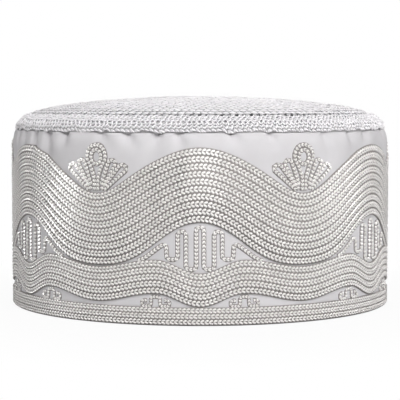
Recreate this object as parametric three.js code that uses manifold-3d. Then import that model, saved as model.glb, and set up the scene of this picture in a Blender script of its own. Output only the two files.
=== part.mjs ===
// Kufi cap: a crocheted crown on a stiff cloth side band, with raised chain-stitch embroidery on the band.
// Millimetres, +Z up. The rim stands on z = 0, the cap's axis is Z, and the middle of one wave crest faces -Y.
import * as THREE from "three";
import { mergeVertices } from "three/addons/utils/BufferGeometryUtils.js";
import Module from "manifold-3d";

const wasm = await Module();
wasm.setup();

// Driving dimensions
const CAP_RADIUS = 94; // to the outer face of the embroidery
const RELIEF = 0.9; // how far the embroidery stands off its own underside
const FIT_GAP = 0.3; // clear space between pieces that touch
const CLOTH_THICKNESS = 2;
const CROCHET_THICKNESS = 2.5;
const BAND_HEIGHT = 85.7; // rim to the top edge of the cloth, under the crown
const CROWN_RISE = 15.9; // from the crown's lower edge to its top
const REPEATS = 6; // the embroidery repeats this many times round the cap
const AROUND = 96; // facets round the band and its waves: a whole number in each repeat
const CROWN_FACETS = 60; // facets round the crown and the hem

const CLOTH_RADIUS = CAP_RADIUS - RELIEF - FIT_GAP;
const RELIEF_BASE = CLOTH_RADIUS + FIT_GAP;
const CROWN_BASE = BAND_HEIGHT + FIT_GAP;
const REPEAT_ANGLE = (2 * Math.PI) / REPEATS;

// Upper wave: its lower and upper edges. Skew leans a half wave: above 0 it falls early, below 0 it falls late.
const UPPER_WAVE = {
  lower: { crest: 46.2, trough: 26.3, skew: 0.28, pull: -0.07 },
  upper: { crest: 79.4, trough: 60.0, skew: -0.24, pull: 0.07 },
};
// Lower wave: heights of its two edges where it dips below a crest, where it swells, and at the repeat's end.
const LOWER_WAVE = {
  swellAngle: 12.3, // degrees from the middle of the repeat
  lower: { dip: 8.5, swell: 14.3, end: 9.9 },
  upper: { dip: 23.5, swell: 29.4, end: 25.5 },
};
const HEM = { bottom: 0.35, top: 8.2 };

// The cloth band's wall, from its straight part to the edge that tucks in under the crown
const BAND_TUCK = [
  { height: 76.0, inset: 0.0 },
  { height: 80.5, inset: 0.5 },
  { height: 83.8, inset: 1.8 },
  { height: BAND_HEIGHT, inset: 3.4 },
];
// Gathers where the cloth is drawn in at the seam: the front ones as they lie, the back ones evenly spaced
const GATHER_FALL = 13; // how far below the seam a gather fades out
const GATHERS = [
  { angle: -79, depth: 1.0, width: 3.4 },
  { angle: -70, depth: 1.5, width: 3.0 },
  { angle: -61, depth: 1.4, width: 3.0 },
  { angle: -53, depth: 1.2, width: 3.2 },
  { angle: -45, depth: 1.5, width: 4.2 },
  { angle: -21, depth: 0.8, width: 4.6 },
  { angle: -12, depth: 0.7, width: 4.0 },
  { angle: 9, depth: 0.6, width: 4.6 },
  { angle: 20, depth: 0.7, width: 4.0 },
  { angle: 38, depth: 0.5, width: 4.6 },
  { angle: 58, depth: 0.6, width: 4.2 },
  { angle: 74, depth: 0.8, width: 3.6 },
];
const BACK_GATHERS = { from: 92, to: 268, step: 11, depth: 0.8, width: 3.8 };

// Crown outside, from the rolled lower edge to the top. Rise is above the crown's lower edge.
const CROWN_OUTSIDE = [
  { radius: 90.4, rise: 0.0 },
  { radius: 91.3, rise: 1.2 },
  { radius: 90.0, rise: 3.7 },
  { radius: 86.7, rise: 6.4 },
  { radius: 79.7, rise: 8.9 },
  { radius: 69.7, rise: 10.9 },
  { radius: 49.7, rise: 13.4 },
  { radius: 25.0, rise: 15.0 },
  { radius: 0.0, rise: CROWN_RISE },
];
const CROWN_INSIDE = [
  { radius: 0.0, rise: CROWN_RISE - CROCHET_THICKNESS },
  { radius: 52.0, rise: 10.7 },
  { radius: 84.0, rise: 4.9 },
  { radius: 88.0, rise: 0.0 },
];
// The openwork round of the crochet, the one whose gaps show as a ring of dark holes
const OPENWORK = { count: 60, radius: 82.6, rise: 7.9, wide: 1.7, long: 1.7, lean: 20, depth: 9 };

// Meander cord in each space under a crest: one half, from the middle outwards
const MEANDER_WIDTH = 1.8;
const MEANDER_HALF = [
  { across: 0.0, height: 43.9 },
  { across: 1.7, height: 41.8 },
  { across: 1.7, height: 28.2 },
  { across: 4.05, height: 26.2 },
  { across: 6.35, height: 28.6 },
  { across: 6.35, height: 40.2 },
  { across: 8.2, height: 42.0 },
  { across: 10.0, height: 40.0 },
  { across: 10.0, height: 31.8 },
  { across: 12.5, height: 29.9 },
  { across: 15.1, height: 32.7 },
  { across: 16.3, height: 35.8 },
  { across: 23.3, height: 31.1 },
];
// Palmette over each trough: petals from left to right that spread from one base, the middle one with an eye.
// Round is how much of a circle its head shows to each side of the tip, in degrees.
const PALMETTE = { base: 60.4, stem: 1.7, valley: 6.5 };
const PETALS = [
  { across: -12.6, height: 69.4, width: 4.2, round: 90, headPoints: 4 },
  { across: -8.0, height: 71.8, width: 4.2, round: 90, headPoints: 4 },
  { across: 0.0, height: 75.0, width: 12.0, round: 150, headPoints: 10 },
  { across: 8.0, height: 71.8, width: 4.2, round: 90, headPoints: 4 },
  { across: 12.6, height: 69.4, width: 4.2, round: 90, headPoints: 4 },
];
const EYE = { height: 74.7, radius: 2.3 };
// Scroll over each side of a dip: a small arch on the hem with a hook at each side, from the middle outwards
const SCROLL_WIDTH = 1.5;
const SCROLL_HALF = [
  { across: 0.0, height: 12.9 },
  { across: 2.1, height: 12.1 },
  { across: 2.9, height: 9.6 },
  { across: 4.9, height: 11.9 },
  { across: 6.3, height: 9.6 },
];

// Colours and finishes
const materials = {
  crochet: new THREE.MeshStandardMaterial({ color: 0xe2e1e5, roughness: 0.9, metalness: 0 }),
  cloth: new THREE.MeshStandardMaterial({ color: 0xdddcdf, roughness: 0.7, metalness: 0 }),
  thread: new THREE.MeshStandardMaterial({ color: 0xbfbbb7, roughness: 0.45, metalness: 0 }),
};

const radians = (degrees) => (degrees * Math.PI) / 180;

// Angle from the middle of the nearest repeat, for an angle measured round the cap from -Y
function inRepeat(angle) {
  return angle - REPEAT_ANGLE * Math.round(angle / REPEAT_ANGLE);
}

// Height of an upper-wave edge: a half cosine from crest to trough, leaned by its skew
function upperWaveEdge(edge, angle) {
  const phase = inRepeat(angle) * REPEATS;
  const leaned = phase + edge.skew * Math.sin(phase) + edge.pull * Math.sin(2 * phase);
  return edge.trough + ((edge.crest - edge.trough) * (1 + Math.cos(leaned))) / 2;
}

// Height of a lower-wave edge: half cosines from the dip up to the swell and down to the repeat's end
function lowerWaveEdge(edge, angle) {
  const away = Math.abs(inRepeat(angle));
  const swell = radians(LOWER_WAVE.swellAngle);
  const ease = (share) => (1 - Math.cos(Math.PI * share)) / 2;
  if (away < swell) return edge.dip + (edge.swell - edge.dip) * ease(away / swell);
  return edge.swell + (edge.end - edge.swell) * ease((away - swell) / (REPEAT_ANGLE / 2 - swell));
}

// How far the band's wall curls in at a height
function tuckInset(height) {
  const above = BAND_TUCK.findIndex((t) => t.height > height);
  if (above <= 0) return above === 0 ? 0 : BAND_TUCK.at(-1).inset;
  const [low, high] = [BAND_TUCK[above - 1], BAND_TUCK[above]];
  return low.inset + ((high.inset - low.inset) * (height - low.height)) / (high.height - low.height);
}

// How far the cloth is drawn in by its gathers at an angle and a height
function gatherDepth(angle, height) {
  const drop = (BAND_HEIGHT - height) / GATHER_FALL;
  if (drop >= 1) return 0;
  let depth = 0;
  const add = (g) => {
    const off = Math.atan2(Math.sin(angle - radians(g.angle)), Math.cos(angle - radians(g.angle)));
    depth += g.depth * Math.exp(-((off / radians(g.width)) ** 2));
  };
  GATHERS.forEach(add);
  for (let a = BACK_GATHERS.from; a <= BACK_GATHERS.to; a += BACK_GATHERS.step)
    add({ angle: a, depth: BACK_GATHERS.depth, width: BACK_GATHERS.width });
  return depth * (1 - drop) ** 2;
}

// Moves each vertex of a geometry, given and returned as angle round the cap from -Y, radius and height
function reshape(geometry, place) {
  const position = geometry.getAttribute("position");
  for (let i = 0; i < position.count; i++) {
    const [x, y, z] = [position.getX(i), position.getY(i), position.getZ(i)];
    const { angle, radius, height } = place(x, y, z);
    position.setXYZ(i, radius * Math.sin(angle), -radius * Math.cos(angle), height);
  }
  return geometry;
}

// A ring turned from a closed profile of radius and height points, then adjusted vertex by vertex
function ring(profile, facets, adjust = (angle, radius, height) => ({ angle, radius, height })) {
  const points = profile.map((p) => new THREE.Vector2(p.radius, p.height));
  const geometry = new THREE.LatheGeometry(points, facets);
  return reshape(geometry, (x, y, z) => adjust(Math.atan2(x, z), Math.hypot(x, z), y));
}

// Wraps a flat drawing, extruded by the relief, on to the band. The drawing's x runs round the cap.
function wrapOnBand(shape, middle) {
  const geometry = new THREE.ExtrudeGeometry(shape, { depth: RELIEF, bevelEnabled: false });
  return reshape(geometry, (x, y, z) => ({
    angle: middle + x / CAP_RADIUS,
    radius: RELIEF_BASE + z - tuckInset(y),
    height: y,
  }));
}

// Outline of a flat cord of even width along a path, with its corners mitred up to a limit
function cordShape(path, width) {
  const mitreLimit = 1.4;
  const side = (sign) =>
    path.map((p, i) => {
      const before = path[Math.max(i - 1, 0)];
      const after = path[Math.min(i + 1, path.length - 1)];
      const into = new THREE.Vector2(p.across - before.across, p.height - before.height).normalize();
      const out = new THREE.Vector2(after.across - p.across, after.height - p.height).normalize();
      if (i === 0) into.copy(out);
      if (i === path.length - 1) out.copy(into);
      const along = into.clone().add(out).normalize();
      const reach = Math.min(1 / Math.max(along.dot(into), 1e-3), mitreLimit) * (width / 2);
      return new THREE.Vector2(p.across - sign * along.y * reach, p.height + sign * along.x * reach);
    });
  return new THREE.Shape([...side(1), ...side(-1).reverse()]);
}

// Direction from the palmette's base to the head of a petal
function petalAxis(petal) {
  return new THREE.Vector2(petal.across, petal.height - PALMETTE.base).normalize();
}

// Outline of a palmette: round each petal's head from its left side to its right, with a valley before the next
function palmetteShape() {
  const base = new THREE.Vector2(0, PALMETTE.base);
  const points = [new THREE.Vector2(-PALMETTE.stem / 2, PALMETTE.base)];
  PETALS.forEach((petal, i) => {
    const axis = petalAxis(petal);
    const across = new THREE.Vector2(axis.y, -axis.x);
    for (let k = 0; k <= petal.headPoints; k++) {
      const turn = radians(petal.round * ((2 * k) / petal.headPoints - 1));
      const point = new THREE.Vector2(petal.across, petal.height);
      point.addScaledVector(axis, (Math.cos(turn) * petal.width) / 2);
      point.addScaledVector(across, (Math.sin(turn) * petal.width) / 2);
      points.push(point);
    }
    if (i === PETALS.length - 1) return;
    const between = axis.clone().add(petalAxis(PETALS[i + 1])).normalize();
    points.push(base.clone().addScaledVector(between, PALMETTE.valley));
  });
  points.push(new THREE.Vector2(PALMETTE.stem / 2, PALMETTE.base));
  const shape = new THREE.Shape(points);
  const eye = new THREE.Path().absarc(0, EYE.height, EYE.radius, 0, 2 * Math.PI, false);
  shape.holes.push(new THREE.Path(eye.getPoints(4).slice(0, -1)));
  return shape;
}

function toSolid(geometry) {
  const bare = geometry.index ? geometry.toNonIndexed() : geometry.clone();
  for (const name of Object.keys(bare.attributes)) if (name !== "position") bare.deleteAttribute(name);
  const merged = mergeVertices(bare, 1e-3);
  return new wasm.Manifold(
    new wasm.Mesh({
      numProp: 3,
      vertProperties: new Float32Array(merged.attributes.position.array),
      triVerts: new Uint32Array(merged.index.array),
    }),
  );
}

function toGeometry(solid) {
  const mesh = solid.getMesh();
  const geometry = new THREE.BufferGeometry();
  geometry.setAttribute("position", new THREE.BufferAttribute(new Float32Array(mesh.vertProperties), 3));
  geometry.setIndex(new THREE.BufferAttribute(new Uint32Array(mesh.triVerts), 1));
  geometry.computeVertexNormals();
  return geometry;
}

function piece(name, geometry, material) {
  const mesh = new THREE.Mesh(geometry, material);
  mesh.name = name;
  return mesh;
}

// Stiff cloth wall, open below, drawn in with gathers at its top
function sideBand() {
  const outside = BAND_TUCK.map((t) => ({ radius: CLOTH_RADIUS - t.inset, height: t.height }));
  const inside = [outside.at(-1), outside[0], { radius: CLOTH_RADIUS, height: 0 }].map((p) => ({
    radius: p.radius - CLOTH_THICKNESS,
    height: p.height,
  }));
  const profile = [inside.at(-1), { radius: CLOTH_RADIUS, height: 0 }, ...outside, ...inside];
  const gather = (angle, radius, height) => ({
    angle,
    radius: radius - gatherDepth(angle, height),
    height,
  });
  return piece("side_band", ring(profile, AROUND, gather), materials.cloth);
}

// Crocheted crown: a low dome with a rolled lower edge and a ring of openwork gaps cut through
function crown() {
  const profile = [...CROWN_OUTSIDE, ...CROWN_INSIDE].map((p) => ({
    radius: p.radius,
    height: CROWN_BASE + p.rise,
  }));
  const rim = profile.pop();
  const shell = toSolid(ring([rim, ...profile, rim], CROWN_FACETS));
  const gaps = [];
  for (let i = 0; i < OPENWORK.count; i++) {
    const angle = (2 * Math.PI * (i + 0.5)) / OPENWORK.count;
    const box = new THREE.BoxGeometry(OPENWORK.wide, OPENWORK.long, OPENWORK.depth);
    box.rotateX(radians(OPENWORK.lean));
    box.translate(0, -OPENWORK.radius, CROWN_BASE + OPENWORK.rise);
    box.rotateZ(angle);
    gaps.push(toSolid(box));
  }
  return piece("crown", toGeometry(shell.subtract(wasm.Manifold.union(gaps))), materials.crochet);
}

// A raised band of stitch rows that runs right round the cap between two edges
function embroideryRing(name, facets, edges) {
  const half = 0.5;
  const profile = [
    { radius: RELIEF_BASE, height: -half },
    { radius: CAP_RADIUS, height: -half },
    { radius: CAP_RADIUS, height: half },
    { radius: RELIEF_BASE, height: half },
    { radius: RELIEF_BASE, height: -half },
  ];
  const follow = (angle, radius, side) => ({
    angle,
    radius,
    height: side < 0 ? edges.lower(angle) : edges.upper(angle),
  });
  return piece(name, ring(profile, facets, follow), materials.thread);
}

function upperWave() {
  return embroideryRing("upper_wave_embroidery", AROUND, {
    lower: (angle) => upperWaveEdge(UPPER_WAVE.lower, angle),
    upper: (angle) => upperWaveEdge(UPPER_WAVE.upper, angle),
  });
}

function lowerWave() {
  return embroideryRing("lower_wave_embroidery", AROUND, {
    lower: (angle) => lowerWaveEdge(LOWER_WAVE.lower, angle),
    upper: (angle) => lowerWaveEdge(LOWER_WAVE.upper, angle),
  });
}

function hem() {
  return embroideryRing("hem_embroidery", CROWN_FACETS, {
    lower: () => HEM.bottom,
    upper: () => HEM.top,
  });
}

// A cord motif that is the same to both sides of its middle
function mirroredCord(name, half, width, middle) {
  const left = half.map((p) => ({ across: -p.across, height: p.height }));
  const path = [...left.reverse().slice(0, -1), ...half];
  return piece(name, wrapOnBand(cordShape(path, width), middle), materials.thread);
}

function meander(number, middle) {
  return mirroredCord(`meander_${number}`, MEANDER_HALF, MEANDER_WIDTH, middle);
}

function palmette(number, middle) {
  return piece(`palmette_${number}`, wrapOnBand(palmetteShape(), middle), materials.thread);
}

function scroll(number, middle) {
  return mirroredCord(`scroll_${number}`, SCROLL_HALF, SCROLL_WIDTH, middle);
}

const cap = new THREE.Group();
cap.add(sideBand(), crown(), upperWave(), lowerWave(), hem());
for (let i = 0; i < REPEATS; i++) {
  const crest = i * REPEAT_ANGLE;
  const swell = radians(LOWER_WAVE.swellAngle);
  cap.add(meander(i + 1, crest));
  cap.add(palmette(i + 1, crest + REPEAT_ANGLE / 2));
  cap.add(scroll(2 * i + 1, crest - swell), scroll(2 * i + 2, crest + swell));
}

export default cap;
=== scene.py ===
import math

import bmesh
import bpy
import numpy as np
from mathutils import Euler, Matrix, Vector, noise


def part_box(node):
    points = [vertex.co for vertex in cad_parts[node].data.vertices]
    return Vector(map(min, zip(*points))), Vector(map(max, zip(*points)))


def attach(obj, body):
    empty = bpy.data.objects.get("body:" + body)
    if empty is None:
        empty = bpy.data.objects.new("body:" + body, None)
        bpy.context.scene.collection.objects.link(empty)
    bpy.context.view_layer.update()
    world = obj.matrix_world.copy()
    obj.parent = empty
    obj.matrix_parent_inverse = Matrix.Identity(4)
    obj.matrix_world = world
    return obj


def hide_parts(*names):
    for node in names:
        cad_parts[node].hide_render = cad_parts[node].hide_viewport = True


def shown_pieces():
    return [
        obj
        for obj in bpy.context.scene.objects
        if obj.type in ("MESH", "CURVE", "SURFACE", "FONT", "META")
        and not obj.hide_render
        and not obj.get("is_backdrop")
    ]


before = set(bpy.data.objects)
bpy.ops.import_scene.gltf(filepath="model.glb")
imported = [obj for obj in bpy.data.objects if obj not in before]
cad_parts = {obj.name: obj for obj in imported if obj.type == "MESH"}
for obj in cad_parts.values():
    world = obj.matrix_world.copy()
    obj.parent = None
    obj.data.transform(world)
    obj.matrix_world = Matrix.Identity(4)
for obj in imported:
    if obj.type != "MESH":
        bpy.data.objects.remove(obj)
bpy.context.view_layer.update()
mm = 0.001
noise.seed_set(7)  # left alone, it starts from the clock, and the crochet would differ from run to run

# sizes that every piece shares, read from the frame
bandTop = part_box("side_band")[1].z
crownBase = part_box("crown")[0].z
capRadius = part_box("upper_wave_embroidery")[1].x  # to the outer face of the embroidery
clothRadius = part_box("side_band")[1].x + 0.25 * mm  # the cloth comes out to meet its stitches
repeats = 6
repeatAngle = 2 * math.pi / repeats


def inRepeat(angle):
    return angle - repeatAngle * np.round(angle / repeatAngle)


def ease(share):
    return (1 - np.cos(np.pi * np.clip(share, 0, 1))) / 2


# material building

def newGroup(name, inputs, outputs):
    group = bpy.data.node_groups.new(name, "ShaderNodeTree")
    for label, kind, value in inputs:
        socket = group.interface.new_socket(label, in_out="INPUT", socket_type=kind)
        if value is not None:
            socket.default_value = value
    for label, kind in outputs:
        group.interface.new_socket(label, in_out="OUTPUT", socket_type=kind)
    return group, group.nodes.new("NodeGroupInput"), group.nodes.new("NodeGroupOutput")


def mathNode(tree, operation, first, second=None):
    node = tree.nodes.new("ShaderNodeMath")
    node.operation = operation
    for socket, value in zip(node.inputs, (first, second)):
        if isinstance(value, bpy.types.NodeSocket):
            tree.links.new(value, socket)
        elif value is not None:
            socket.default_value = value
    return node.outputs[0]


def mixNode(tree):
    node = tree.nodes.new("ShaderNodeMix")
    node.data_type = "RGBA"
    sockets = {socket.name: socket for socket in node.inputs if socket.enabled}
    sockets["Result"] = next(socket for socket in node.outputs if socket.enabled)
    return sockets


# Painted shade on a thread: darker down in the grooves, where shade falls, by the mesh's lift attribute,
# with slow and fine patches
def makeGrooves():
    group, given, out = newGroup(
        "grooves",
        [("Light", "NodeSocketColor", (1, 1, 1, 1)), ("Dull", "NodeSocketColor", (0.8, 0.8, 0.8, 1)),
         ("Painted Shade", "NodeSocketColor", (0.2, 0.2, 0.2, 1)), ("Patch Scale", "NodeSocketFloat", 300.0),
         ("Low", "NodeSocketFloat", 0.3), ("High", "NodeSocketFloat", 0.8)],
        [("Color", "NodeSocketColor")],
    )
    links = group.links
    place = group.nodes.new("ShaderNodeTexCoord")
    cloud = group.nodes.new("ShaderNodeTexNoise")
    cloud.inputs["Detail"].default_value = 2.0
    lift = group.nodes.new("ShaderNodeAttribute")
    lift.attribute_name = "lift"
    spread = group.nodes.new("ShaderNodeMapRange")
    spread.interpolation_type = "SMOOTHSTEP"
    patches, grooves = mixNode(group), mixNode(group)
    links.new(place.outputs["Object"], cloud.inputs["Vector"])
    links.new(given.outputs["Patch Scale"], cloud.inputs["Scale"])
    links.new(cloud.outputs[0], patches["Factor"])
    links.new(given.outputs["Dull"], patches["A"])
    links.new(given.outputs["Light"], patches["B"])
    # the lower the surface lies in its run, the more it takes the darkest colour: painted shade in the
    # grooves
    links.new(lift.outputs["Fac"], spread.inputs["Value"])
    links.new(given.outputs["Low"], spread.inputs["From Min"])
    links.new(given.outputs["High"], spread.inputs["From Max"])
    links.new(spread.outputs["Result"], grooves["Factor"])
    links.new(given.outputs["Painted Shade"], grooves["A"])
    links.new(patches["Result"], grooves["B"])
    links.new(grooves["Result"], out.inputs["Color"])
    return group


# Slow patches of shade in a cloth, on Object coordinates
def makeMottle():
    group, given, out = newGroup(
        "mottle",
        [("Light", "NodeSocketColor", (1, 1, 1, 1)), ("Dark", "NodeSocketColor", (0.5, 0.5, 0.5, 1)),
         ("Scale", "NodeSocketFloat", 40.0)],
        [("Color", "NodeSocketColor"), ("Mask", "NodeSocketFloat")],
    )
    links = group.links
    place = group.nodes.new("ShaderNodeTexCoord")
    cloud = group.nodes.new("ShaderNodeTexNoise")
    cloud.inputs["Detail"].default_value = 3.0
    mix = mixNode(group)
    links.new(place.outputs["Object"], cloud.inputs["Vector"])
    links.new(given.outputs["Scale"], cloud.inputs["Scale"])
    links.new(cloud.outputs[0], mix["Factor"])
    links.new(given.outputs["Dark"], mix["A"])
    links.new(given.outputs["Light"], mix["B"])
    links.new(mix["Result"], out.inputs["Color"])
    links.new(cloud.outputs[0], out.inputs["Mask"])
    return group


# The plies of a twisted thread, as slanted ridges on the stitch's own UV map
def makePlies():
    group, given, out = newGroup(
        "plies",
        [("Turns", "NodeSocketFloat", 3.0), ("Plies", "NodeSocketFloat", 3.0)],
        [("Height", "NodeSocketFloat")],
    )
    uv = group.nodes.new("ShaderNodeUVMap")
    uv.uv_map = "threadUv"
    parts = group.nodes.new("ShaderNodeSeparateXYZ")
    group.links.new(uv.outputs["UV"], parts.inputs[0])
    around = mathNode(group, "MULTIPLY", parts.outputs["X"], given.outputs["Plies"])
    along = mathNode(group, "MULTIPLY", parts.outputs["Y"], given.outputs["Turns"])
    turn = mathNode(group, "MULTIPLY", mathNode(group, "ADD", around, along), 2 * math.pi)
    ridge = mathNode(group, "ABSOLUTE", mathNode(group, "SINE", turn))
    group.links.new(ridge, out.inputs["Height"])
    return group


# Over and under of a plain weave, on the band's UV map in millimetres
def makeWeave():
    group, given, out = newGroup(
        "weave",
        [("Threads", "NodeSocketFloat", 2.4)],
        [("Height", "NodeSocketFloat")],
    )
    uv = group.nodes.new("ShaderNodeUVMap")
    uv.uv_map = "clothUv"
    parts = group.nodes.new("ShaderNodeSeparateXYZ")
    group.links.new(uv.outputs["UV"], parts.inputs[0])
    waves = []
    for axis in ("X", "Y"):
        turn = mathNode(group, "MULTIPLY", parts.outputs[axis], given.outputs["Threads"])
        waves.append(mathNode(group, "SINE", mathNode(group, "MULTIPLY", turn, math.pi)))
    crossed = mathNode(group, "MULTIPLY", waves[0], waves[1])
    group.links.new(mathNode(group, "ABSOLUTE", crossed), out.inputs["Height"])
    return group


grooves = makeGrooves()
mottle = makeMottle()
plies = makePlies()
weave = makeWeave()


def placeGroup(tree, group, values):
    node = tree.nodes.new("ShaderNodeGroup")
    node.node_tree = group
    for label, value in values.items():
        node.inputs[label].default_value = value
    return node


def addBump(tree, height, shader, strength, distance):
    bump = tree.nodes.new("ShaderNodeBump")
    bump.inputs["Strength"].default_value = strength
    bump.inputs["Distance"].default_value = distance
    tree.links.new(height, bump.inputs["Height"])
    tree.links.new(bump.outputs["Normal"], shader.inputs["Normal"])


def newMaterial(name, roughness, sheen=0.0, specular=0.5):
    material = bpy.data.materials.new(name)
    material.use_nodes = True
    shader = material.node_tree.nodes["Principled BSDF"]
    shader.inputs["Roughness"].default_value = roughness
    shader.inputs["Sheen Weight"].default_value = sheen
    shader.inputs["Sheen Roughness"].default_value = 0.5
    shader.inputs["Specular IOR Level"].default_value = specular
    return material, shader


# The gleam that a whole row of flat threads gives, which faces straight out from the cap's axis
def addGleam(tree, shader, weight, roughness):
    shader.inputs["Coat Weight"].default_value = weight
    shader.inputs["Coat Roughness"].default_value = roughness
    place = tree.nodes.new("ShaderNodeTexCoord")
    flat, unit = tree.nodes.new("ShaderNodeVectorMath"), tree.nodes.new("ShaderNodeVectorMath")
    flat.operation, unit.operation = "MULTIPLY", "NORMALIZE"
    flat.inputs[1].default_value = (1, 1, 0)
    tree.links.new(place.outputs["Object"], flat.inputs[0])
    tree.links.new(flat.outputs["Vector"], unit.inputs[0])
    tree.links.new(unit.outputs["Vector"], shader.inputs["Coat Normal"])


def makeThreadMaterial(name, thread):
    material, shader = newMaterial(name, thread["roughness"], thread["sheen"], thread["specular"])
    tree = material.node_tree
    shade = placeGroup(tree, grooves, {
        "Light": (*thread["light"], 1), "Dull": (*thread["dull"], 1), "Painted Shade": (*thread["paintedShade"], 1),
        "Patch Scale": thread["patchScale"], "Low": thread["low"], "High": thread["high"]})
    twist = placeGroup(tree, plies, {"Turns": thread["turns"], "Plies": thread["plies"]})
    tree.links.new(shade.outputs["Color"], shader.inputs["Base Color"])
    addBump(tree, twist.outputs["Height"], shader, thread["bump"], thread["plyDepth"])
    if "coat" in thread:
        addGleam(tree, shader, thread["coat"], thread["coatRoughness"])
    return material


def makeClothMaterial():
    fabric = {"light": (0.66, 0.645, 0.66), "dark": (0.57, 0.555, 0.57), "patchScale": 60.0,
              "threadsPerMm": 2.6, "bump": 0.35, "threadDepth": 0.05 * mm}
    material, shader = newMaterial("bandCloth", roughness=0.7, sheen=0.05, specular=0.25)
    tree = material.node_tree
    shade = placeGroup(tree, mottle, {
        "Light": (*fabric["light"], 1), "Dark": (*fabric["dark"], 1), "Scale": fabric["patchScale"]})
    threads = placeGroup(tree, weave, {"Threads": fabric["threadsPerMm"]})
    tree.links.new(shade.outputs["Color"], shader.inputs["Base Color"])
    addBump(tree, threads.outputs["Height"], shader, fabric["bump"], fabric["threadDepth"])
    return material


# The beds and backings between and behind the stitches: their dark grey is painted shade, standing in for
# the shade in the gaps between stitches
def makeShadeBedMaterial(name, light, dark):
    fuzz = {"patchScale": 300.0, "bump": 0.3, "depth": 0.05 * mm}
    material, shader = newMaterial(name, roughness=0.75, specular=0.3)
    tree = material.node_tree
    shade = placeGroup(tree, mottle, {
        "Light": (*light, 1), "Dark": (*dark, 1), "Scale": fuzz["patchScale"]})
    tree.links.new(shade.outputs["Color"], shader.inputs["Base Color"])
    addBump(tree, shade.outputs["Mask"], shader, fuzz["bump"], fuzz["depth"])
    return material


# the thread's darkest colour is painted shade, down in the grooves between the legs
silver = makeThreadMaterial("silverThread", {
    "light": (0.99, 0.955, 0.935), "dull": (0.60, 0.575, 0.56), "paintedShade": (0.25, 0.23, 0.22),
    "low": 0.38, "high": 0.88, "patchScale": 420.0, "roughness": 0.36, "sheen": 0.0, "specular": 0.45,
    "coat": 1.0, "coatRoughness": 0.24, "turns": 2.0, "plies": 2.0, "bump": 0.35, "plyDepth": 0.05 * mm})
# the yarn's darkest colour is painted shade, down between the strands and in the holes
cotton = makeThreadMaterial("crochetCotton", {
    "light": (0.96, 0.94, 0.96), "dull": (0.86, 0.84, 0.86), "paintedShade": (0.38, 0.37, 0.385),
    "low": 0.4, "high": 0.9, "patchScale": 250.0, "roughness": 0.8, "sheen": 0.3, "specular": 0.3,
    "turns": 3.0, "plies": 2.0, "bump": 0.5, "plyDepth": 0.07 * mm})
# both beds are painted shade: dark grey sheets where the gaps between stitches would lie in shade
stitchShadeBed = makeShadeBedMaterial("stitchShadeBed", (0.33, 0.31, 0.295), (0.25, 0.235, 0.225))
# the crochet backing's grey is painted shade, seen through the holes of the crown
crochetShadeBed = makeShadeBedMaterial("crochetShadeBed", (0.60, 0.59, 0.60), (0.44, 0.43, 0.44))
cloth = makeClothMaterial()


# piece building

def newPiece(name, mesh, material, node):
    piece = bpy.data.objects.new(name, mesh)
    bpy.context.scene.collection.objects.link(piece)
    mesh.materials.clear()
    mesh.materials.append(material)
    mesh.polygons.foreach_set("use_smooth", [True] * len(mesh.polygons))
    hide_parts(node)
    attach(piece, "root")


def readCoords(mesh):
    coords = np.empty(len(mesh.vertices) * 3)
    mesh.vertices.foreach_get("co", coords)
    return coords.reshape(-1, 3)


def writeCoords(mesh, coords):
    mesh.vertices.foreach_set("co", np.ascontiguousarray(coords, dtype=np.float32).ravel())
    mesh.update()


# Places are angle round from the front, radius and height
def readRound(mesh):
    coords = readCoords(mesh)
    return np.arctan2(coords[:, 0], -coords[:, 1]), np.hypot(coords[:, 0], coords[:, 1]), coords[:, 2]


def writeRound(mesh, angle, radius, height):
    writeCoords(mesh, np.column_stack((radius * np.sin(angle), -radius * np.cos(angle), height)))


def meshFrom(bm, name):
    mesh = bpy.data.meshes.new(name)
    bm.to_mesh(mesh)
    bm.free()
    return mesh


# A profile of radius and height, spun once round the cap's axis
def spinProfile(profile, steps, closed=True):
    bm = bmesh.new()
    verts = [bm.verts.new((0, -radius, height)) for radius, height in profile]
    after = verts[1:] + verts[:1] if closed else verts[1:]
    edges = [bm.edges.new(pair) for pair in zip(verts, after)]
    bmesh.ops.spin(bm, geom=verts + edges, cent=(0, 0, 0), axis=(0, 0, 1), dvec=(0, 0, 0),
                   angle=2 * math.pi, steps=steps, use_merge=True, use_duplicate=False)
    bmesh.ops.remove_doubles(bm, verts=bm.verts, dist=1e-6)
    bmesh.ops.recalc_face_normals(bm, faces=bm.faces)
    return bm


# One strand of a stitch: a thin ball drawn out along X, bowed and turned, with its UV round and along it
def addStrand(bm, strand):
    made = bmesh.ops.create_uvsphere(bm, u_segments=strand["sides"], v_segments=strand["rings"],
                                     radius=1.0, calc_uvs=True)["verts"]
    bmesh.ops.rotate(bm, verts=made, cent=(0, 0, 0), matrix=Matrix.Rotation(math.pi / 2, 3, "Y"))
    fullness = 0.5
    for vert in made:  # a fuller strand than an egg, with short ends
        swell = 1 + fullness * vert.co.x ** 2
        vert.co.y *= swell
        vert.co.z *= swell
    bmesh.ops.scale(bm, verts=made, vec=(strand["long"] / 2, strand["wide"] / 2, strand["high"] / 2))
    for vert in made:
        share = 2 * vert.co.x / strand["long"]
        vert.co.y += strand.get("bow", 0.0) * (1 - share * share)
        vert.co.z += strand.get("arch", 0.0) * (1 - share * share) + strand.get("climb", 0.0) * share
    bmesh.ops.rotate(bm, verts=made, cent=(0, 0, 0), matrix=Matrix.Rotation(strand["turn"], 3, "Z"))
    bmesh.ops.translate(bm, verts=made, vec=strand["at"])


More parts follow.
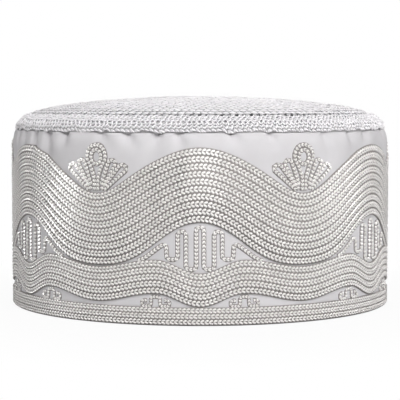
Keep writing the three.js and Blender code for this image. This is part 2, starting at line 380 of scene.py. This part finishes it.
# A run of equal stitches along X, joined by an array
def stitchRun(name, strands, pitch, count):
    bm = bmesh.new()
    bm.loops.layers.uv.new("threadUv")
    for strand in strands:
        addStrand(bm, strand)
    single = meshFrom(bm, name + "Stitch")
    holder = bpy.data.objects.new(name + "Stitch", single)
    bpy.context.scene.collection.objects.link(holder)
    array = holder.modifiers.new("stitches", "ARRAY")
    array.use_relative_offset = False
    array.use_constant_offset = True
    array.constant_offset_displace = (pitch, 0, 0)
    array.count = count
    graph = bpy.context.evaluated_depsgraph_get()
    mesh = bpy.data.meshes.new_from_object(holder.evaluated_get(graph))
    mesh.name = name
    bpy.data.objects.remove(holder)
    bpy.data.meshes.remove(single)
    # the lift, 0 at the run's lowest point and 1 at its highest, sets where the threads' painted groove
    # shade falls
    heights = readCoords(mesh)[:, 2]
    lift = (heights - heights.min()) / (heights.max() - heights.min())
    mesh.attributes.new("lift", "FLOAT", "POINT").data.foreach_set("value", lift.astype(np.float32))
    return mesh


# A path drawn on the unrolled band: across is the arc at the cap's radius, up is the height
def makePath(across, up, width=None, closed=False):
    across, up = np.asarray(across, float), np.asarray(up, float)
    steps = np.hypot(np.diff(across), np.diff(up))
    along = np.concatenate(([0], np.cumsum(steps)))
    slopeX, slopeY = np.gradient(across, along), np.gradient(up, along)
    size = np.hypot(slopeX, slopeY)
    width = np.ones_like(along) if width is None else np.asarray(width, float)
    return {"along": along, "across": across, "up": up, "tx": slopeX / size, "ty": slopeY / size,
            "width": width, "closed": closed}


# cloth relief

# the wall turns in under the crown
tuck = {"tall": 9.7 * mm, "depth": 2.1 * mm, "power": 2.6, "past": 1.2}
gather = {
    "fall": 16 * mm,  # how far down a middling one runs
    "rate": 1.15,  # how fast they fade on the way down, and how much that differs from one to the next
    "rateSpread": 0.35,
    "rateStep": 2.3,  # from a gather's angle to its own rate, and to its own lean
    "leanStep": 1.7,
    "lean": 3.0,  # degrees from top to bottom, this way or that
    "strength": 1.3,
    "topWidth": 0.6,  # of its own width
    "widening": 1.2,
    "puff": 0.8 * mm,  # how far the cloth stands out between gathers
}
gathers = [  # degrees round from the front, depth in mm and width in degrees
    {"angle": -80, "depth": 2.6, "width": 1.8},
    {"angle": -72, "depth": 3.0, "width": 1.6},
    {"angle": -64.5, "depth": 3.3, "width": 1.5},
    {"angle": -57.5, "depth": 3.3, "width": 1.5},
    {"angle": -50, "depth": 3.2, "width": 1.7},
    {"angle": -42.5, "depth": 2.8, "width": 2.2},
    {"angle": -29, "depth": 1.8, "width": 2.6},
    {"angle": -21, "depth": 2.3, "width": 2.2},
    {"angle": -12, "depth": 2.2, "width": 2.4},
    {"angle": -6, "depth": 1.7, "width": 2.0},
    {"angle": 9, "depth": 2.0, "width": 2.6},
    {"angle": 20, "depth": 2.4, "width": 1.8},
    {"angle": 38, "depth": 1.7, "width": 2.6},
    {"angle": 49, "depth": 1.5, "width": 2.2},
    {"angle": 58, "depth": 2.0, "width": 2.2},
    {"angle": 74, "depth": 2.4, "width": 2.0},
]
# round the back there are none where a wave's crest stiffens the cloth
for angle in (92, 102, 111, 129, 139, 149, 160, 170, 190, 200, 211, 221, 231, 249, 258, 268):
    gathers.append({"angle": angle, "depth": 2.0, "width": 2.4})
dents = {
    "depth": 0.6 * mm,
    "calmBelow": 52 * mm,  # where the stitches hold the cloth
    "calm": 0.25,  # share of the depth that is left there
    "folds": ((7, 60, 0.3), (11, -95, 1.9), (17, 130, 4.1), (29, -70, 2.6)),  # turns round, run up, phase
}


def tuckInset(height):
    share = np.clip((height - bandTop) / tuck["tall"] + 1, 0, tuck["past"])
    return tuck["depth"] * share ** tuck["power"]


def gatherDepth(angle, height):
    drop = np.maximum((bandTop - height) / gather["fall"], 0)
    depth = np.zeros_like(angle)
    for one in gathers:
        lean = gather["lean"] * math.sin(gather["leanStep"] * one["angle"])
        rate = gather["rate"] + gather["rateSpread"] * math.sin(gather["rateStep"] * one["angle"])
        fall = np.clip(drop * rate, 0, 1)
        off = np.degrees(np.angle(np.exp(1j * (angle - math.radians(one["angle"]))))) - lean * fall
        width = one["width"] * (gather["topWidth"] + gather["widening"] * fall)
        depth += gather["strength"] * one["depth"] * mm * (1 - fall) ** 2 * np.exp(-((off / width) ** 2))
    return depth - gather["puff"] * (1 - np.clip(drop, 0, 1)) ** 2


# How far the cloth lies in from its even cylinder: gathers under the crown, and dents where it is loose
def clothShift(angle, height):
    sway = sum(np.sin(turns * angle + run * height + phase) for turns, run, phase in dents["folds"])
    sway = sway / len(dents["folds"])
    rise = ease((height - dents["calmBelow"]) / (bandTop - dents["calmBelow"]))
    loose = dents["calm"] + (1 - dents["calm"]) * rise
    return gatherDepth(angle, height) - dents["depth"] * sway * loose + tuckInset(height)


# Lays a straight run of stitches along a path on the band
def layOnBand(mesh, path, runLength, baseRadius, phase=0.0):
    coords = readCoords(mesh)
    total = path["along"][-1]
    along = (coords[:, 0] + phase) * total / runLength
    if path["closed"]:
        along = along % total
    keys = ("across", "up", "tx", "ty", "width")
    find = {key: np.interp(along, path["along"], path[key]) for key in keys}
    aside = coords[:, 1] * find["width"]
    angle = (find["across"] - aside * find["ty"]) / capRadius
    height = find["up"] + aside * find["tx"]
    writeRound(mesh, angle, baseRadius + coords[:, 2] - clothShift(angle, height), height)


# cloth band

band = {
    "wall": 2.0 * mm,
    "steps": 540,
    "fold": 0.5 * mm,  # how round the rim's fold is
    "gatheredFrom": 0.78,  # of the height, and rings lie closer above it
    "lowRings": 12,
    "highRings": 18,
    "innerRings": 7,
}


def buildBand():
    inner = clothRadius - band["wall"]
    change = band["gatheredFrom"] * bandTop
    heights = [*np.linspace(band["fold"], change, band["lowRings"])]
    heights += [*np.linspace(change, bandTop, band["highRings"] + 1)[1:]]
    outline = [(inner + band["fold"], 0), (clothRadius - band["fold"], 0)]
    outline += [(clothRadius, h) for h in heights]
    outline += [(inner, h) for h in np.linspace(bandTop, band["fold"], band["innerRings"])]
    bm = spinProfile(outline, band["steps"])
    uv = bm.loops.layers.uv.new("clothUv")
    circumference = 2 * math.pi * clothRadius / mm
    for face in bm.faces:
        turns = [math.atan2(loop.vert.co.x, -loop.vert.co.y) / (2 * math.pi) for loop in face.loops]
        split = max(turns) - min(turns) > 0.5  # this face lies across the seam
        for loop, turn in zip(face.loops, turns):
            loop[uv].uv = ((turn + (split and turn < 0)) * circumference, loop.vert.co.z / mm)
    mesh = meshFrom(bm, "clothBand")
    angle, radius, height = readRound(mesh)
    writeRound(mesh, angle, radius - clothShift(angle, height), height)
    newPiece("cloth_band", mesh, cloth, "side_band")


buildBand()
print("cloth band made")

# chain-stitch rows

chain = {
    "pitch": 1.95 * mm,
    "rowWidth": 3.0 * mm,
    "base": clothRadius + 0.42 * mm,
    "shift": 0.37,  # stitches by which each row starts past the one below
    "leg": {"long": 1.18, "wide": 0.39, "high": 0.42, "lean": math.radians(27), "apart": 0.172},
}
rowSteps = 2160


# The two legs of one chain stitch, and where it has one the footing under them. Their length is a share of
# the pitch, and the rest are shares of the width.
def chainStrands(pitch, width, leg, footing=None):
    bend = 0.05  # how far a leg bows out, and climbs
    strands = []
    for side in (-1, 1):
        strands.append({
            "sides": 5, "rings": 4, "long": pitch * leg["long"], "wide": width * leg["wide"],
            "high": width * leg["high"], "bow": side * bend * pitch, "climb": bend * width,
            "turn": side * leg["lean"], "at": (pitch / 2, side * width * leg["apart"], 0),
        })
    if footing:
        strands.append({
            "sides": 6, "rings": 3, "long": pitch * footing["long"], "wide": width * footing["wide"],
            "high": width * footing["high"], "turn": 0.0, "at": (pitch / 2, 0, -width * footing["sunk"]),
        })
    return strands


upperWave = {
    "rows": 10,
    "low": {"crest": 46.2 * mm, "trough": 26.3 * mm, "skew": 0.28, "pull": -0.07},
    "high": {"crest": 79.4 * mm, "trough": 58.7 * mm, "skew": -0.19, "pull": 0.05},
}
lowerWave = {
    "rows": 5,
    "swellAngle": math.radians(12.3),
    "low": {"dip": 8.5 * mm, "swell": 14.3 * mm, "end": 9.9 * mm},
    "high": {"dip": 23.5 * mm, "swell": 29.4 * mm, "end": 25.5 * mm},
}
hem = {"rows": 3, "low": 0.45 * mm, "high": 8.2 * mm}


def between(edges, share):
    return {key: edges["low"][key] * (1 - share) + edges["high"][key] * share for key in edges["low"]}


def upperWaveHeight(angle, share):
    edge = between(upperWave, share)
    phase = inRepeat(angle) * repeats
    leaned = phase + edge["skew"] * np.sin(phase) + edge["pull"] * np.sin(2 * phase)
    return edge["trough"] + (edge["crest"] - edge["trough"]) * (1 + np.cos(leaned)) / 2


def lowerWaveHeight(angle, share):
    edge = between(lowerWave, share)
    away, swell = np.abs(inRepeat(angle)), lowerWave["swellAngle"]
    rise = edge["dip"] + (edge["swell"] - edge["dip"]) * ease(away / swell)
    fall = edge["swell"] + (edge["end"] - edge["swell"]) * ease((away - swell) / (repeatAngle / 2 - swell))
    return np.where(away < swell, rise, fall)


def hemHeight(angle, share):
    return hem["low"] + (hem["high"] - hem["low"]) * share + 0 * angle


def buildRows(prefix, rows, heightOf, node):
    angles = np.linspace(0, 2 * math.pi, rowSteps + 1)
    for row in range(rows):
        middle = heightOf(angles, (row + 0.5) / rows)
        tall = heightOf(angles, (row + 1) / rows) - heightOf(angles, row / rows)
        slope = np.gradient(middle, angles * capRadius)
        width = tall / np.sqrt(1 + slope ** 2) / chain["rowWidth"]
        path = makePath(angles * capRadius, middle, width, closed=True)
        count = round(path["along"][-1] / chain["pitch"])
        strands = chainStrands(chain["pitch"], chain["rowWidth"], chain["leg"])
        mesh = stitchRun(f"{prefix}{row + 1}", strands, chain["pitch"], count)
        phase = chain["shift"] * row * chain["pitch"]
        layOnBand(mesh, path, count * chain["pitch"], chain["base"], phase)
        newPiece(f"{prefix}_row_{row + 1}", mesh, silver, node)


# the bed reaches past the rows by this much, which paints a thin shadow line along their edges
bed = {"shadowRim": 0.12 * mm, "thick": 0.5 * mm, "steps": 720}


# A dark bed under the rows, which closes the gaps between stitches: its dark grey is painted shade in those
# gaps, and where it reaches past the rows it paints a thin shadow line along their edges
def buildBed(name, heightOf, node):
    outer = clothRadius + bed["thick"]
    low, high = 0, 1  # stand-ins until the wave's heights are known
    ring = [(clothRadius, low), (outer, low), (outer, high), (clothRadius, high)]
    mesh = meshFrom(spinProfile(ring, bed["steps"]), name)
    angle, radius, level = readRound(mesh)
    bottom, top = heightOf(angle, 0.0) - bed["shadowRim"], heightOf(angle, 1.0) + bed["shadowRim"]
    height = np.where(level > (low + high) / 2, top, bottom)
    writeRound(mesh, angle, radius - clothShift(angle, height), height)
    newPiece(name, mesh, stitchShadeBed, node)


for prefix, rows, heightOf, node in (
    ("upper_wave", upperWave["rows"], upperWaveHeight, "upper_wave_embroidery"),
    ("lower_wave", lowerWave["rows"], lowerWaveHeight, "lower_wave_embroidery"),
    ("hem", hem["rows"], hemHeight, "hem_embroidery"),
):
    buildRows(prefix, rows, heightOf, node)
    buildBed(prefix + "_shade_bed", heightOf, node)
    print(prefix, "rows made")

# corded motifs: half of each path from its middle outwards, as corners in mm, rounded by the fillet

cord = {
    "pitch": 1.74 * mm,
    "width": 1.85 * mm,
    "base": clothRadius + 0.22 * mm,
    "leg": {"long": 1.0, "wide": 0.46, "high": 0.84, "lean": math.radians(24), "apart": 0.14},
    "footing": {"long": 1.9, "wide": 1.7, "high": 0.4, "sunk": 0.2},
    "cornerSteps": 8,
    "ringSteps": 17,
    "meanderFillet": 1.75,
    "scrollFillet": 1.25,
    "scrollSize": 0.78,  # its stitches are smaller
}
meanderHalf = [
    (0, 44.0), (1.7, 44.0), (1.7, 25.3), (6.35, 25.3), (6.35, 42.2), (10.0, 42.2), (10.0, 29.7),
    (15.0, 29.7), (15.2, 36.4), (17.4, 36.0), (24.9, 30.3), (28.6, 28.7),
]


# An upright oval that starts and ends at the given degrees, clockwise from its foot
def ringPoints(across, up, middle, start, end):
    turns = np.radians(np.linspace(start, end, cord["ringSteps"]))
    return [(-across * math.sin(turn), middle - up * math.cos(turn)) for turn in turns]


palmettePaths = {
    "outer_ring": {"fillet": 1.0, "points": [
        (-0.9, 59.7), (-0.95, 65.8), *ringPoints(5.0, 5.1, 75.3, 38, 322), (0.95, 65.8), (0.9, 59.7)]},
    "inner_ring": {"fillet": 0.5, "points": ringPoints(2.75, 3.35, 74.9, 4, 364)},
    "leaf_a": {"fillet": 1.9, "points": [(2.5, 62.2), (6.9, 73.9), (10.7, 72.9), (2.6, 60.2)]},
    "leaf_b": {"fillet": 1.9, "points": [(4.3, 61.8), (12.8, 72.2), (16.3, 70.0), (4.0, 60.0)]},
}
scrollHalf = [(0, 12.9), (2.1, 12.9), (2.1, 8.7), (6.4, 8.7), (6.4, 11.3), (3.9, 11.2)]


def mirrored(points):
    return [(-x, y) for x, y in points]


def filletPath(points, radius):
    shortest = 1e-4
    points = [np.array(p, float) for p in points]
    line = [points[0]]
    for before, corner, after in zip(points, points[1:], points[2:]):
        reachIn = min(radius, np.linalg.norm(before - corner) / 2)
        reachOut = min(radius, np.linalg.norm(after - corner) / 2)
        start = corner + (before - corner) / np.linalg.norm(before - corner) * reachIn
        end = corner + (after - corner) / np.linalg.norm(after - corner) * reachOut
        for share in np.linspace(0, 1, cord["cornerSteps"]):
            line.append((1 - share) ** 2 * start + 2 * share * (1 - share) * corner + share ** 2 * end)
    line.append(points[-1])
    line = np.array(line)
    keep = np.concatenate(([True], np.linalg.norm(np.diff(line, axis=0), axis=1) > shortest))
    return line[keep]


def layCord(name, points, fillet, middle, size=1.0):
    line = filletPath(points, fillet) * mm
    path = makePath(line[:, 0] + middle * capRadius, line[:, 1])
    pitch = cord["pitch"] * size
    count = round(path["along"][-1] / pitch)
    strands = chainStrands(pitch, cord["width"] * size, cord["leg"], cord["footing"])
    mesh = stitchRun(name, strands, pitch, count)
    layOnBand(mesh, path, count * pitch, cord["base"])
    return mesh


def joinMeshes(name, meshes):
    bm = bmesh.new()
    for mesh in meshes:
        bm.from_mesh(mesh)
        bpy.data.meshes.remove(mesh)
    return meshFrom(bm, name)


def buildMotifs():
    for i in range(repeats):
        crest = i * repeatAngle
        trough = crest + repeatAngle / 2
        path = mirrored(meanderHalf)[:0:-1] + meanderHalf
        mesh = layCord(f"meander{i}", path, cord["meanderFillet"], crest)
        newPiece(f"meander_cord_{i + 1}", mesh, silver, f"meander_{i + 1}")
        parts = []
        for part, drawn in palmettePaths.items():
            sides = [drawn["points"]]
            if part.startswith("leaf"):
                sides.append(mirrored(drawn["points"]))
            parts += [layCord(part, side, drawn["fillet"], trough) for side in sides]
        mesh = joinMeshes(f"palmette{i}", parts)
        newPiece(f"palmette_cords_{i + 1}", mesh, silver, f"palmette_{i + 1}")
        for k, side in enumerate((-1, 1)):
            number = 2 * i + k + 1
            path = mirrored(scrollHalf)[:0:-1] + scrollHalf
            middle = crest + side * lowerWave["swellAngle"]
            mesh = layCord(f"scroll{number}", path, cord["scrollFillet"], middle, cord["scrollSize"])
            newPiece(f"scroll_cord_{number}", mesh, silver, f"scroll_{number}")


buildMotifs()
print("motifs made")

# crochet crown: edge rounds of short stitches, then open rounds to the centre

crownOutline = [  # radius and rise above the crown's lower edge, in mm
    (90.9, 0.2), (91.2, 1.4), (90.7, 2.7), (89.5, 4.2), (88.0, 5.4), (86.3, 6.4), (83.4, 7.6), (79.7, 8.8),
    (74.7, 9.9), (69.7, 10.8), (59.7, 12.2), (49.7, 13.2), (39.7, 13.9), (29.8, 14.5), (19.8, 15.0),
    (10.0, 15.3), (0.0, 15.4),
]
outlineSteps = 800
outlineBlur = 15  # steps to each side that are averaged, to round the outline
edgeRounds = {
    "start": 0.5 * mm,
    "rise": 1.7 * mm,
    "pitch": 2.3 * mm,
    "yarn": 0.86 * mm,
    "long": 1.45,  # of the rise, and the next four are shares of the yarn
    "high": 1.25,
    "arch": 0.1,
    "stepUp": 0.15,
    "stepOut": 0.22,
    "shift": 0.31,  # stitches by which each round starts past the last one
    "leans": [  # degrees, for the strands of one stitch in each round
        (-52, -64, -40), (-58, -30, 52), (-46, 40, -68), (-38, -66, 34), (-62, 28, 54), (-50, -20, 60),
    ],
    "sway": 0.5 * mm,  # how far its lower edge rises and dips
    "swayWaves": ((41, 0.4), (67, 2.1), (97, 4.0)),  # turns round and phase
    "dip": 0.16,  # of a gather's depth
    "fade": 4 * mm,  # how far up the sway is felt
    "wobbles": ((150.0, 0.6 * mm), (400.0, 0.5 * mm)),  # scale and amount
}
openRounds = {
    "start": 9.3 * mm,
    "endGap": 2.5 * mm,
    "rise": 3.8 * mm,
    "pitch": 3.3 * mm,
    "yarn": 1.0 * mm,
    "shift": 0.43,
    "loop": {"long": 1.15, "bow": 0.05, "arch": 0.35, "lean": 13, "apart": 0.42, "out": 0.15},
    "post": {"wide": 0.9, "lean": 80, "fan": 9, "across": 0.42},
    "firstPosts": {"count": 3, "apart": 0.48},  # the first round is a tighter one
    "otherPosts": {"count": 2, "apart": 0.36},
    "perPiece": 9,
    "wobbles": ((220.0, 0.35 * mm),),
}
# grey shells behind the crochet, painted shade seen through its gaps
shadeBackings = {
    "edge": {"from": 0.2 * mm, "to": 8.6 * mm, "inset": 0.3 * mm, "rings": 14, "tuckedIn": 1.6 * mm},
    "dome": {"from": 12.9 * mm, "to": 95.0 * mm, "inset": 0.3 * mm, "rings": 30},
}


def crownSurface():
    points = np.array(crownOutline) * mm
    along = np.concatenate(([0], np.cumsum(np.hypot(*np.diff(points, axis=0).T))))
    fine = np.linspace(0, along[-1], outlineSteps)
    window = np.ones(2 * outlineBlur + 1) / (2 * outlineBlur + 1)
    smooth = []
    for column in points.T:
        drawn = np.pad(np.interp(fine, along, column), outlineBlur, mode="reflect", reflect_type="odd")
        smooth.append(np.convolve(drawn, window, "valid"))
    slopeR, slopeZ = np.gradient(smooth[0], fine), np.gradient(smooth[1], fine)
    size = np.hypot(slopeR, slopeZ)
    radius, rise = smooth
    return {"along": fine, "radius": radius, "rise": rise, "nr": slopeZ / size, "nz": -slopeR / size}


surface = crownSurface()


def surfaceAt(along):
    return {key: np.interp(along, surface["along"], surface[key]) for key in ("radius", "rise", "nr", "nz")}


# How far the crown's lower edge rises or dips: slow waves, and down where the cloth is gathered
def edgeShift(angle):
    waves = sum(np.sin(turns * angle + phase) for turns, phase in edgeRounds["swayWaves"])
    sway = edgeRounds["sway"] * waves / len(edgeRounds["swayWaves"])
    return sway - edgeRounds["dip"] * gatherDepth(angle, bandTop)


# Lays a straight run of stitches round the crown. Y runs up the dome and Z out of it.
def layOnCrown(mesh, start, runLength, phase):
    coords = readCoords(mesh)
    angle = (coords[:, 0] / runLength + phase) * 2 * math.pi
    along = np.clip(start + coords[:, 1], 0, surface["along"][-1])
    at = surfaceAt(along)
    height = crownBase + at["rise"] + at["nz"] * coords[:, 2]
    height += edgeShift(angle) * np.exp(-along / edgeRounds["fade"])
    writeRound(mesh, angle, at["radius"] + at["nr"] * coords[:, 2], height)


def edgeStrands(leans):
    yarn = edgeRounds["yarn"]
    strands = []
    for k, lean in enumerate(leans):
        across = edgeRounds["pitch"] * (k + 0.5) / len(leans)
        strands.append({
            "sides": 5, "rings": 4, "long": edgeRounds["rise"] * edgeRounds["long"],
            "wide": yarn, "high": yarn * edgeRounds["high"],
            "arch": edgeRounds["arch"] * yarn, "turn": math.radians(lean),
            "at": (across, edgeRounds["stepUp"] * yarn * (k - 1), edgeRounds["stepOut"] * yarn * k),
        })
    return strands


def openStrands(posts):
    pitch, rise, yarn = openRounds["pitch"], openRounds["rise"], openRounds["yarn"]
    loop, post = openRounds["loop"], openRounds["post"]
    strands = []
    for side in (-1, 1):  # the loop along the top of the round
        strands.append({
            "sides": 5, "rings": 4, "long": pitch * loop["long"], "wide": yarn, "high": yarn,
            "bow": side * loop["bow"] * pitch, "arch": loop["arch"] * yarn,
            "turn": side * math.radians(loop["lean"]),
            "at": (pitch / 2, rise + side * yarn * loop["apart"], loop["out"] * yarn),
        })
    for side in np.linspace(-1, 1, posts["count"]):  # the posts below it
        strands.append({
            "sides": 5, "rings": 4, "long": rise, "wide": yarn * post["wide"], "high": yarn,
            "turn": math.radians(post["lean"] + post["fan"] * side),
            "at": (pitch * post["across"] + side * yarn * posts["apart"], rise / 2, 0),
        })
    return strands


def wobble(mesh, size, amount):
    coords = readCoords(mesh)
    shifts = np.array([noise.noise_vector(Vector(c) * size) for c in coords])
    writeCoords(mesh, coords + shifts * amount)


# A plain grey shell behind the rounds, which closes the gaps between stitches except in the first open
# round: its grey is painted shade, seen through the gaps
def buildCrownShadeBacking(name, backing):
    along = np.linspace(backing["from"], min(backing["to"], surface["along"][-1]), backing["rings"])
    at = surfaceAt(along)
    radius = np.maximum(at["radius"] - backing["inset"] * at["nr"], 0)
    profile = list(zip(radius, crownBase + at["rise"] - backing["inset"] * at["nz"]))
    if "tuckedIn" in backing:
        profile.insert(0, (radius[0], crownBase - backing["tuckedIn"]))
    mesh = meshFrom(spinProfile(profile, band["steps"], closed=False), name + "Backing")
    angle, radius, height = readRound(mesh)
    inWall = clothRadius - band["wall"] / 2 - clothShift(angle, bandTop)
    radius = np.where(height < crownBase, inWall, radius)
    height = height + edgeShift(angle) * np.exp(-np.abs(height - crownBase) / edgeRounds["fade"])
    writeRound(mesh, angle, radius, height)
    newPiece(f"crown_{name}_shade_backing", mesh, crochetShadeBed, "crown")


def buildRounds(name, meshes, wobbles):
    mesh = joinMeshes(name, meshes)
    for size, amount in wobbles:
        wobble(mesh, size, amount)
    newPiece(name, mesh, cotton, "crown")


def buildEdgeRounds():
    meshes = []
    for row, leans in enumerate(edgeRounds["leans"]):
        start = edgeRounds["start"] + row * edgeRounds["rise"]
        count = round(2 * math.pi * surfaceAt(start)["radius"] / edgeRounds["pitch"])
        mesh = stitchRun(f"edge{row}", edgeStrands(leans), edgeRounds["pitch"], count)
        layOnCrown(mesh, start, count * edgeRounds["pitch"], row * edgeRounds["shift"] / count)
        meshes.append(mesh)
    buildRounds("crown_edge_rounds", meshes, edgeRounds["wobbles"])


def buildOpenRounds():
    rise, pitch, perPiece = openRounds["rise"], openRounds["pitch"], openRounds["perPiece"]
    room = surface["along"][-1] - openRounds["endGap"] - openRounds["start"]
    meshes = []
    for row in range(math.ceil(room / rise)):
        start = openRounds["start"] + row * rise
        count = max(round(2 * math.pi * surfaceAt(start + rise)["radius"] / pitch), 5)
        posts = openRounds["otherPosts" if row else "firstPosts"]
        mesh = stitchRun(f"open{row}", openStrands(posts), pitch, count)
        layOnCrown(mesh, start, count * pitch, row * openRounds["shift"] / count)
        meshes.append(mesh)
    for number, first in enumerate(range(0, len(meshes), perPiece)):
        group = meshes[first:first + perPiece]
        buildRounds(f"crown_open_rounds_{number + 1}", group, openRounds["wobbles"])


buildEdgeRounds()
for name, backing in shadeBackings.items():
    buildCrownShadeBacking(name, backing)
buildOpenRounds()
print("crown made")

# stage, light and camera

photo = {  # the camera that fits the cap's outline: pixels, and metres from the cap's axis and the floor
    "pixels": 400, "focal": 1514, "horizon": 97.3, "distance": 0.7614, "height": 0.1016,
}


# The floor's own light is seen by the camera alone, so it stays as white as the photo's backdrop
def makeFloor():
    ground = {"half": 6.0, "color": (0.62, 0.62, 0.62, 1), "near": 0.1, "far": 0.2, "leastGlow": 0.93}
    bm = bmesh.new()
    bmesh.ops.create_grid(bm, x_segments=1, y_segments=1, size=ground["half"])
    mesh = meshFrom(bm, "floor")
    floor = bpy.data.objects.new("floor", mesh)
    bpy.context.scene.collection.objects.link(floor)
    material, shader = newMaterial("paleFloor", roughness=0.9)
    shader.inputs["Base Color"].default_value = ground["color"]
    tree = material.node_tree
    place = tree.nodes.new("ShaderNodeTexCoord")
    length = tree.nodes.new("ShaderNodeVectorMath")
    length.operation = "LENGTH"
    away = tree.nodes.new("ShaderNodeMapRange")
    glow, rays = tree.nodes.new("ShaderNodeEmission"), tree.nodes.new("ShaderNodeLightPath")
    mix = tree.nodes.new("ShaderNodeMixShader")
    away.inputs["From Min"].default_value = ground["near"]
    away.inputs["From Max"].default_value = ground["far"]
    away.inputs["To Min"].default_value = ground["leastGlow"]
    tree.links.new(place.outputs["Object"], length.inputs[0])
    tree.links.new(length.outputs["Value"], away.inputs["Value"])
    outside = mathNode(tree, "GREATER_THAN", length.outputs["Value"], clothRadius)
    glowing = mathNode(tree, "MULTIPLY", away.outputs["Result"], outside)
    seen = mathNode(tree, "MULTIPLY", glowing, rays.outputs["Is Camera Ray"])
    tree.links.new(seen, mix.inputs[0])
    tree.links.new(shader.outputs[0], mix.inputs[1])
    tree.links.new(glow.outputs[0], mix.inputs[2])
    tree.links.new(mix.outputs[0], tree.nodes["Material Output"].inputs["Surface"])
    mesh.materials.append(material)
    floor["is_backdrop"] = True


# The fill light comes mostly from the front, the right and low down
def makeWorld():
    fillLight = {"color": (1, 0.99, 1, 1), "horizon": 0.2, "zenith": 0.12, "front": 1.0, "behind": 0.6,
                 "left": 0.75, "right": 1.1}
    world = bpy.data.worlds.new("studio")
    bpy.context.scene.world = world
    world.use_nodes = True
    tree = world.node_tree
    tree.nodes.clear()
    seen, fill = tree.nodes.new("ShaderNodeBackground"), tree.nodes.new("ShaderNodeBackground")
    seen.inputs["Color"].default_value = (1, 1, 1, 1)
    fill.inputs["Color"].default_value = fillLight["color"]
    way, parts = tree.nodes.new("ShaderNodeTexCoord"), tree.nodes.new("ShaderNodeSeparateXYZ")
    tree.links.new(way.outputs["Generated"], parts.inputs[0])
    strength = 1.0
    for axis, low, start, end in (("Z", 0, "horizon", "zenith"), ("Y", -1, "front", "behind"),
                                  ("X", -1, "left", "right")):
        fade = tree.nodes.new("ShaderNodeMapRange")
        fade.inputs["From Min"].default_value = low
        fade.inputs["To Min"].default_value = fillLight[start]
        fade.inputs["To Max"].default_value = fillLight[end]
        tree.links.new(parts.outputs[axis], fade.inputs["Value"])
        strength = mathNode(tree, "MULTIPLY", fade.outputs["Result"], strength)
    tree.links.new(strength, fill.inputs["Strength"])
    rays, mix = tree.nodes.new("ShaderNodeLightPath"), tree.nodes.new("ShaderNodeMixShader")
    out = tree.nodes.new("ShaderNodeOutputWorld")
    tree.links.new(rays.outputs["Is Camera Ray"], mix.inputs[0])
    tree.links.new(fill.outputs[0], mix.inputs[1])
    tree.links.new(seen.outputs[0], mix.inputs[2])
    tree.links.new(mix.outputs[0], out.inputs[0])


# Azimuth is measured round from the camera, in degrees, and distances are in metres
lamps = [
    {"name": "key", "azimuth": 27, "elevation": 35,
     "away": 1.4, "wide": 0.9, "high": 0.9, "power": 16.2},
    {"name": "left", "azimuth": -40, "elevation": 46,
     "away": 1.4, "wide": 0.5, "high": 0.5, "power": 5.2},
    {"name": "back", "azimuth": 172, "elevation": 10,
     "away": 1.4, "wide": 0.9, "high": 0.6, "power": 11.5},
    {"name": "backLeft", "azimuth": -170, "elevation": 7,
     "away": 1.4, "wide": 0.9, "high": 0.4, "power": 8.5},
]
gleamLamps = [  # these light only the gloss of the threads
    {"name": "frontGleam", "azimuth": 3, "elevation": 12,
     "away": 1.3, "wide": 0.3, "high": 0.5, "power": 14.0},
    {"name": "rightGleam", "azimuth": 80, "elevation": 12,
     "away": 1.1, "wide": 0.25, "high": 0.5, "power": 10.0},
    {"name": "leftGleam", "azimuth": -79, "elevation": 12,
     "away": 1.1, "wide": 0.2, "high": 0.5, "power": 17.0},
]
aimHeight = 0.05  # metres, about the middle of the cap


def makeLamp(lamp, gleamOnly=False):
    light = bpy.data.lights.new(lamp["name"], "AREA")
    light.shape = "RECTANGLE"
    light.size, light.size_y = lamp["wide"], lamp["high"]
    light.energy = lamp["power"]
    holder = bpy.data.objects.new(lamp["name"], light)
    bpy.context.scene.collection.objects.link(holder)
    turn, rise = math.radians(lamp["azimuth"]), math.radians(lamp["elevation"])
    toward = Vector((math.sin(turn) * math.cos(rise), -math.cos(turn) * math.cos(rise), math.sin(rise)))
    holder.location = toward * lamp["away"] + Vector((0, 0, aimHeight))
    holder.rotation_euler = toward.to_track_quat("Z", "Y").to_euler()
    holder.visible_diffuse = not gleamOnly


def makeCamera():
    camera = bpy.data.cameras.new("photoCamera")
    camera.sensor_width = 36
    camera.lens = camera.sensor_width * photo["focal"] / photo["pixels"]
    camera.clip_start = 0.01
    holder = bpy.data.objects.new("photoCamera", camera)
    bpy.context.scene.collection.objects.link(holder)
    tilt = math.atan((photo["pixels"] / 2 - photo["horizon"]) / photo["focal"])
    holder.location = (0, -photo["distance"], photo["height"])
    holder.rotation_euler = Euler((math.pi / 2 - tilt, 0, 0))
    bpy.context.scene.camera = holder


makeFloor()
makeWorld()
for lamp in lamps:
    makeLamp(lamp)
for lamp in gleamLamps:
    makeLamp(lamp, gleamOnly=True)
makeCamera()
bpy.context.scene.view_settings.view_transform = "Standard"

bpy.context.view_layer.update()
triangles = sum(len(p.vertices) - 2 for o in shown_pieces() for p in o.data.polygons)
print("triangles", triangles)
